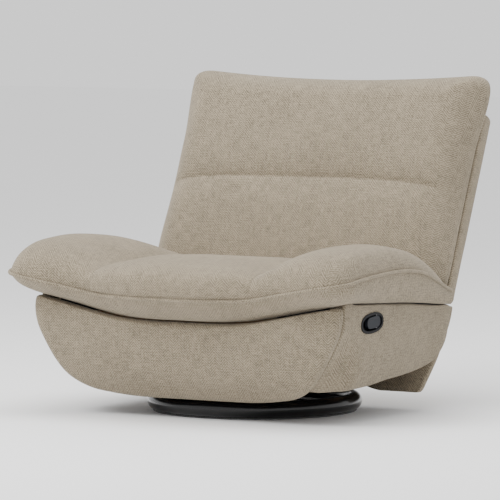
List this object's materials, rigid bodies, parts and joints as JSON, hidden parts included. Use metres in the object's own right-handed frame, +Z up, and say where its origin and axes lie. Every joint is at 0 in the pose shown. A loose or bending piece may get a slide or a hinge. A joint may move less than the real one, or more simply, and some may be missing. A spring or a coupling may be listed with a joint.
{
  "type": "glider nursery chair",
  "caption": "Wing-armed upholstered nursery chair that swivels and glides on a round tube base, with a reclining back and a fold-out footrest panel.",
  "frame": {"origin": "on the floor, on the swivel axis at the centre of the ring base", "axes": "+Z up, the seat faces -Y, +X is the sitter's left, the side with the release handle"},
  "size_m": [1.124, 1.0664, 0.9636],
  "materials": {
    "base_black": "gloss",
    "steel_dark": "satin",
    "steel_bright": "satin",
    "glide_plastic": "matte",
    "wood_frame": "matte",
    "lining": "matte",
    "upholstery": "matte",
    "handle_black": "satin",
    "handle_grey": "satin",
    "cable_black": "matte"
  },
  "bodies": {
    "base": {"ring_tube": "base_black", "base_arm_cross": "base_black", "base_arms_fore_aft": "base_black", "hub_plate": "steel_dark", "bearing_balls": "steel_bright", "swivel_bolt": "steel_bright", "floor_glide_ring": "glide_plastic"},
    "swivel_frame": {"bearing_race_upper": "steel_dark", "swivel_plate": "steel_dark", "swivel_bar_front": "steel_dark", "swivel_bar_rear": "steel_dark", "glide_posts_front": "steel_dark", "glide_posts_rear": "steel_dark", "glide_pins_upper": "steel_bright"},
    "front_links": {"glide_link_front_left": "steel_bright", "glide_link_front_right": "steel_bright"},
    "rear_links": {"glide_link_rear_left": "steel_bright", "glide_link_rear_right": "steel_bright"},
    "seat_carriage": {"carriage_plate_left": "steel_dark", "carriage_plate_right": "steel_dark", "carriage_cross_tubes": "steel_dark", "seat_cross_slats": "wood_frame", "seat_rail_front": "wood_frame", "seat_rail_rear": "wood_frame", "seat_rail_left": "wood_frame", "seat_rail_right": "wood_frame", "seat_springs": "steel_bright", "seat_platform": "lining", "seat_cushion": "upholstery", "wing_pad_left": "upholstery", "wing_pad_right": "upholstery", "side_pad_left": "upholstery", "side_pad_right": "upholstery", "side_board_left": "wood_frame", "side_board_right": "wood_frame", "rear_pad": "upholstery", "rear_board": "wood_frame", "recline_plates": "steel_dark", "carriage_pins": "steel_bright", "handle_housing": "handle_black", "lever_pin": "steel_bright", "release_cable": "cable_black"},
    "lever": {"release_lever": "handle_grey"},
    "footrest_drive": {"footrest_links_drive": "steel_dark"},
    "footrest_follow": {"footrest_links_rear": "steel_dark"},
    "footrest_arm": {"footrest_arms": "steel_dark", "footrest_pins_arm": "steel_bright", "footrest_cross_tube": "steel_dark"},
    "footrest": {"footrest_brackets": "steel_dark", "footrest_board": "wood_frame", "footrest_pad": "upholstery"},
    "backrest": {"back_outer_panel": "upholstery", "back_stile_left": "wood_frame", "back_stile_right": "wood_frame", "back_rail_top": "wood_frame", "back_rail_bottom": "wood_frame", "back_springs": "steel_bright", "back_pillow": "upholstery", "back_hinge_brackets": "steel_dark"}
  },
  "joints": [
    {"name": "swivel", "type": "hinge", "parent": "base", "child": "swivel_frame", "pos_m": [0, 0, 0], "axis": [0, 0, 1], "continuous": true},
    {"name": "glide", "type": "hinge", "parent": "swivel_frame", "child": "front_links", "pos_m": [0, -0.15, 0.24], "axis": [1, 0, 0], "range_deg": [-14, 14]},
    {"name": "glide_seat", "type": "hinge", "parent": "front_links", "child": "seat_carriage", "pos_m": [0, -0.15, 0.09], "axis": [1, 0, 0], "range_deg": [-14, 14]},
    {"name": "glide_rear", "type": "hinge", "parent": "swivel_frame", "child": "rear_links", "pos_m": [0, 0.15, 0.24], "axis": [1, 0, 0], "range_deg": [-14, 14]},
    {"name": "footrest_open", "type": "hinge", "parent": "seat_carriage", "child": "footrest_drive", "pos_m": [0, -0.25, 0.24], "axis": [-1, 0, 0], "range_deg": [0, 150]},
    {"name": "footrest_arm_turn", "type": "hinge", "parent": "footrest_drive", "child": "footrest_arm", "pos_m": [0, -0.10278, 0.155], "axis": [-1, 0, 0], "range_deg": [-150, 0]},
    {"name": "footrest_follow_turn", "type": "hinge", "parent": "seat_carriage", "child": "footrest_follow", "pos_m": [0, -0.2, 0.24], "axis": [-1, 0, 0], "range_deg": [0, 150]},
    {"name": "footrest_tilt", "type": "hinge", "parent": "footrest_arm", "child": "footrest", "pos_m": [0, -0.345, 0.23], "axis": [-1, 0, 0], "range_deg": [0, 90]},
    {"name": "recline", "type": "hinge", "parent": "seat_carriage", "child": "backrest", "pos_m": [0, 0.29405, 0.33248], "axis": [-1, 0, 0], "range_deg": [0, 28]},
    {"name": "release_pull", "type": "hinge", "parent": "seat_carriage", "child": "lever", "pos_m": [0.497, -0.173, 0.289], "axis": [0, 0, 1], "range_deg": [0, 30], "stiffness_Nm_per_rad": 0.5}
  ],
  "couplings": [
    {"joint": "glide_seat", "follows": "glide", "ratio": -1},
    {"joint": "glide_rear", "follows": "glide", "ratio": 1},
    {"joint": "footrest_arm_turn", "follows": "footrest_open", "ratio": -1},
    {"joint": "footrest_follow_turn", "follows": "footrest_open", "ratio": 1},
    {"joint": "footrest_tilt", "follows": "footrest_open", "ratio": 0.6}
  ]
}
